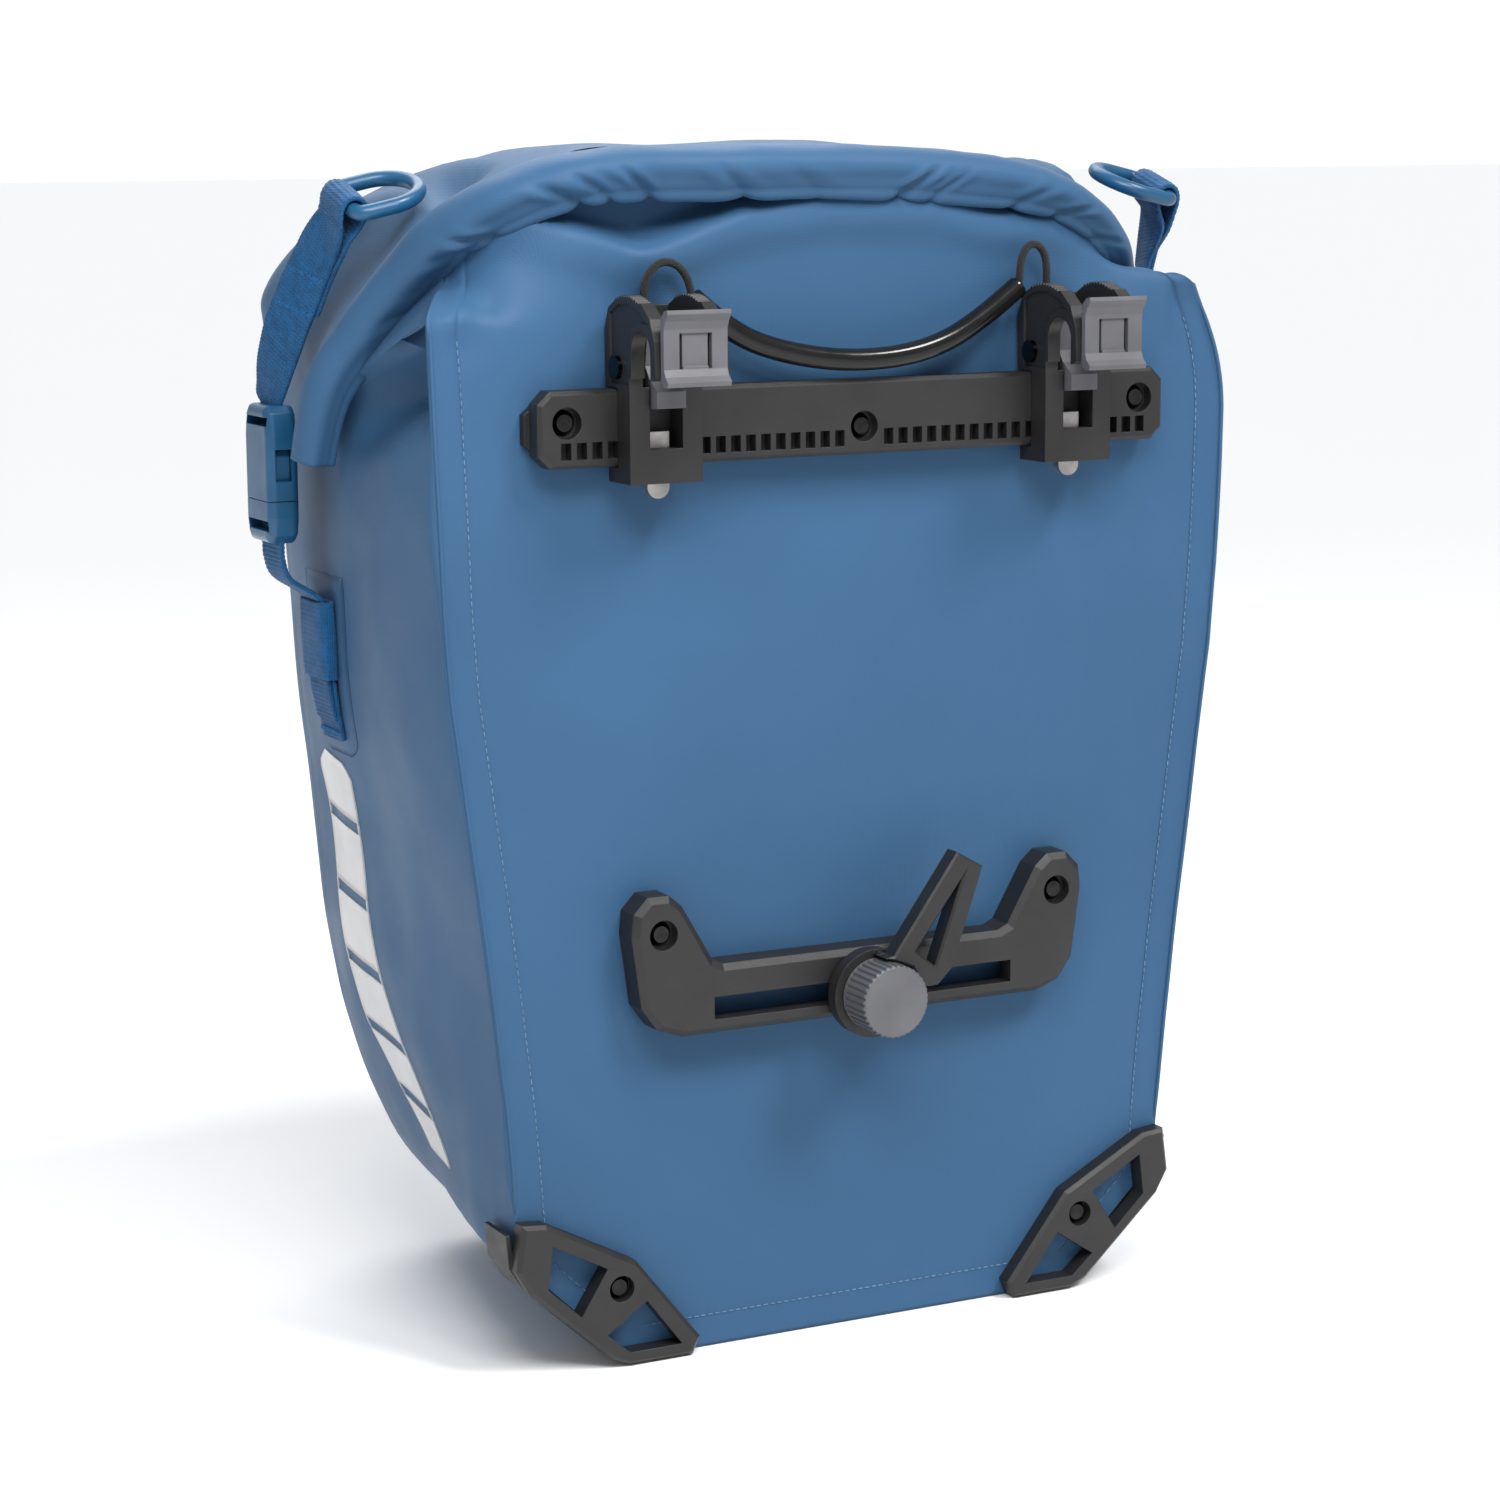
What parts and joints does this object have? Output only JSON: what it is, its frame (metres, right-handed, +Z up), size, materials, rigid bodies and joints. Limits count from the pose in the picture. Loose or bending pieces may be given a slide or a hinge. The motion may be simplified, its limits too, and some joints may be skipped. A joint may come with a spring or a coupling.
{
  "type": "bicycle pannier bag",
  "caption": "Roll-top waterproof pannier with two latching rack hooks on a slotted rail, a lower tension rail with a turning arm, corner guards and side buckles.",
  "frame": {"origin": "middle of the base, at the height the bag stands on", "axes": "+Z up, +X along the rack-side panel to the right when the rack side is faced, the rack side faces -Y"},
  "size_m": [0.421, 0.2506, 0.4715],
  "materials": {
    "coated_fabric": "matte coated twill",
    "board": "matte",
    "webbing": "ribbed weave",
    "buckle_plastic": "satin moulded",
    "reflective_print": "retroreflective film",
    "black_plastic": "fine-grained moulded",
    "grey_plastic": "satin moulded",
    "black_screw": "gloss black",
    "steel": "blasted",
    "pull_sleeve": "glossy",
    "pull_cord": "braided"
  },
  "bodies": {
    "bag": {"back_panel": "coated_fabric", "back_stiffener": "board", "bag_shell": "coated_fabric", "collar": "coated_fabric", "hook_rail": "black_plastic", "rail_screws": "black_screw", "rail_nuts": "steel", "tension_rail": "black_plastic", "tension_rail_screws": "black_screw", "tension_rail_nuts": "steel", "guard_screws": "black_screw", "guard_nuts": "steel", "corner_guard_left": "black_plastic", "strap_patch_left": "coated_fabric", "lower_strap_left": "webbing", "strap_keeper_left": "webbing", "reflector_left": "reflective_print", "buckle_male_left": "buckle_plastic", "corner_guard_right": "black_plastic", "strap_patch_right": "coated_fabric", "lower_strap_right": "webbing", "strap_keeper_right": "webbing", "reflector_right": "reflective_print", "buckle_male_right": "buckle_plastic"},
    "closure": {"closure_roll": "coated_fabric", "closure_batten": "board", "upper_strap_left": "webbing", "buckle_female_left": "buckle_plastic", "upper_strap_right": "webbing", "buckle_female_right": "buckle_plastic"},
    "clamp": {"clamp_bolt": "steel", "clamp_washer": "steel"},
    "tension_arm": {"tension_arm": "black_plastic"},
    "tension_knob": {"tension_knob": "grey_plastic"},
    "buckle_arm_left_near": {"buckle_arm_left_near": "buckle_plastic"},
    "buckle_arm_left_far": {"buckle_arm_left_far": "buckle_plastic"},
    "d_ring_left": {"d_ring_left": "buckle_plastic"},
    "hook_left": {"hook_body_left": "black_plastic", "latch_pin_left": "black_screw", "latch_spring_left": "steel", "tube_insert_left": "grey_plastic", "pull_sleeve": "pull_sleeve", "pull_cord_left": "pull_cord", "pull_cord_right": "pull_cord"},
    "latch_left": {"hook_latch_left": "grey_plastic"},
    "lock_left": {"lock_bar_left": "steel"},
    "buckle_arm_right_near": {"buckle_arm_right_near": "buckle_plastic"},
    "buckle_arm_right_far": {"buckle_arm_right_far": "buckle_plastic"},
    "d_ring_right": {"d_ring_right": "buckle_plastic"},
    "hook_right": {"hook_body_right": "black_plastic", "latch_pin_right": "black_screw", "latch_spring_right": "steel", "tube_insert_right": "grey_plastic"},
    "latch_right": {"hook_latch_right": "grey_plastic"},
    "lock_right": {"lock_bar_right": "steel"}
  },
  "joints": [
    {"name": "closure_lift", "type": "slide", "parent": "bag", "child": "closure", "axis": [0, 0, 1], "range_m": [0, 0.045]},
    {"name": "buckle_arm_left_near_press", "type": "hinge", "parent": "bag", "child": "buckle_arm_left_near", "pos_m": [-0.1965, 0.031, 0.3352], "axis": [-1, 0, 0], "range_deg": [0, 6], "stiffness_Nm_per_rad": 0.2},
    {"name": "buckle_arm_left_far_press", "type": "hinge", "parent": "bag", "child": "buckle_arm_left_far", "pos_m": [-0.1965, 0.0476, 0.3352], "axis": [1, 0, 0], "range_deg": [0, 6], "stiffness_Nm_per_rad": 0.2},
    {"name": "buckle_arm_right_near_press", "type": "hinge", "parent": "bag", "child": "buckle_arm_right_near", "pos_m": [0.1965, 0.031, 0.3352], "axis": [-1, 0, 0], "range_deg": [0, 6], "stiffness_Nm_per_rad": 0.2},
    {"name": "buckle_arm_right_far_press", "type": "hinge", "parent": "bag", "child": "buckle_arm_right_far", "pos_m": [0.1965, 0.0476, 0.3352], "axis": [1, 0, 0], "range_deg": [0, 6], "stiffness_Nm_per_rad": 0.2},
    {"name": "d_ring_left_swing", "type": "hinge", "parent": "closure", "child": "d_ring_left", "pos_m": [-0.182, -0.0097, 0.4506], "axis": [0, -0.9542, -0.299], "range_deg": [0, 100]},
    {"name": "d_ring_right_swing", "type": "hinge", "parent": "closure", "child": "d_ring_right", "pos_m": [0.182, -0.0097, 0.4506], "axis": [0, 0.9542, 0.299], "range_deg": [0, 100]},
    {"name": "hook_left_slide", "type": "slide", "parent": "bag", "child": "hook_left", "axis": [1, 0, 0], "range_m": [-0.0128, 0.0128]},
    {"name": "hook_right_slide", "type": "slide", "parent": "hook_left", "child": "hook_right", "axis": [1, 0, 0], "range_m": [-0.0128, 0.0128], "deforming": ["pull_sleeve", "pull_cord_right"]},
    {"name": "latch_left_release", "type": "hinge", "parent": "hook_left", "child": "latch_left", "pos_m": [-0.09, -0.0847, 0.39], "axis": [1, 0, 0], "range_deg": [0, 20], "stiffness_Nm_per_rad": 0.1},
    {"name": "latch_right_release", "type": "hinge", "parent": "hook_right", "child": "latch_right", "pos_m": [0.09, -0.0847, 0.39], "axis": [1, 0, 0], "range_deg": [0, 20], "stiffness_Nm_per_rad": 0.1},
    {"name": "lock_bar_left_slide", "type": "slide", "parent": "hook_left", "child": "lock_left", "axis": [0, 0, 1], "range_m": [0, 0.004], "stiffness_N_per_m": 150},
    {"name": "lock_bar_right_slide", "type": "slide", "parent": "hook_right", "child": "lock_right", "axis": [0, 0, 1], "range_m": [0, 0.004], "stiffness_N_per_m": 150},
    {"name": "clamp_slide", "type": "slide", "parent": "bag", "child": "clamp", "axis": [1, 0, 0], "range_m": [-0.062, 0.062]},
    {"name": "tension_arm_turn", "type": "hinge", "parent": "clamp", "child": "tension_arm", "pos_m": [0, -0.0927, 0.141], "axis": [0, 1, 0], "range_deg": [-180, 180]},
    {"name": "tension_knob_turn", "type": "hinge", "parent": "clamp", "child": "tension_knob", "pos_m": [0, -0.1027, 0.141], "axis": [0, 1, 0], "continuous": true}
  ],
  "couplings": [
    {"joint": "latch_right_release", "follows": "latch_left_release", "ratio": 1}
  ]
}
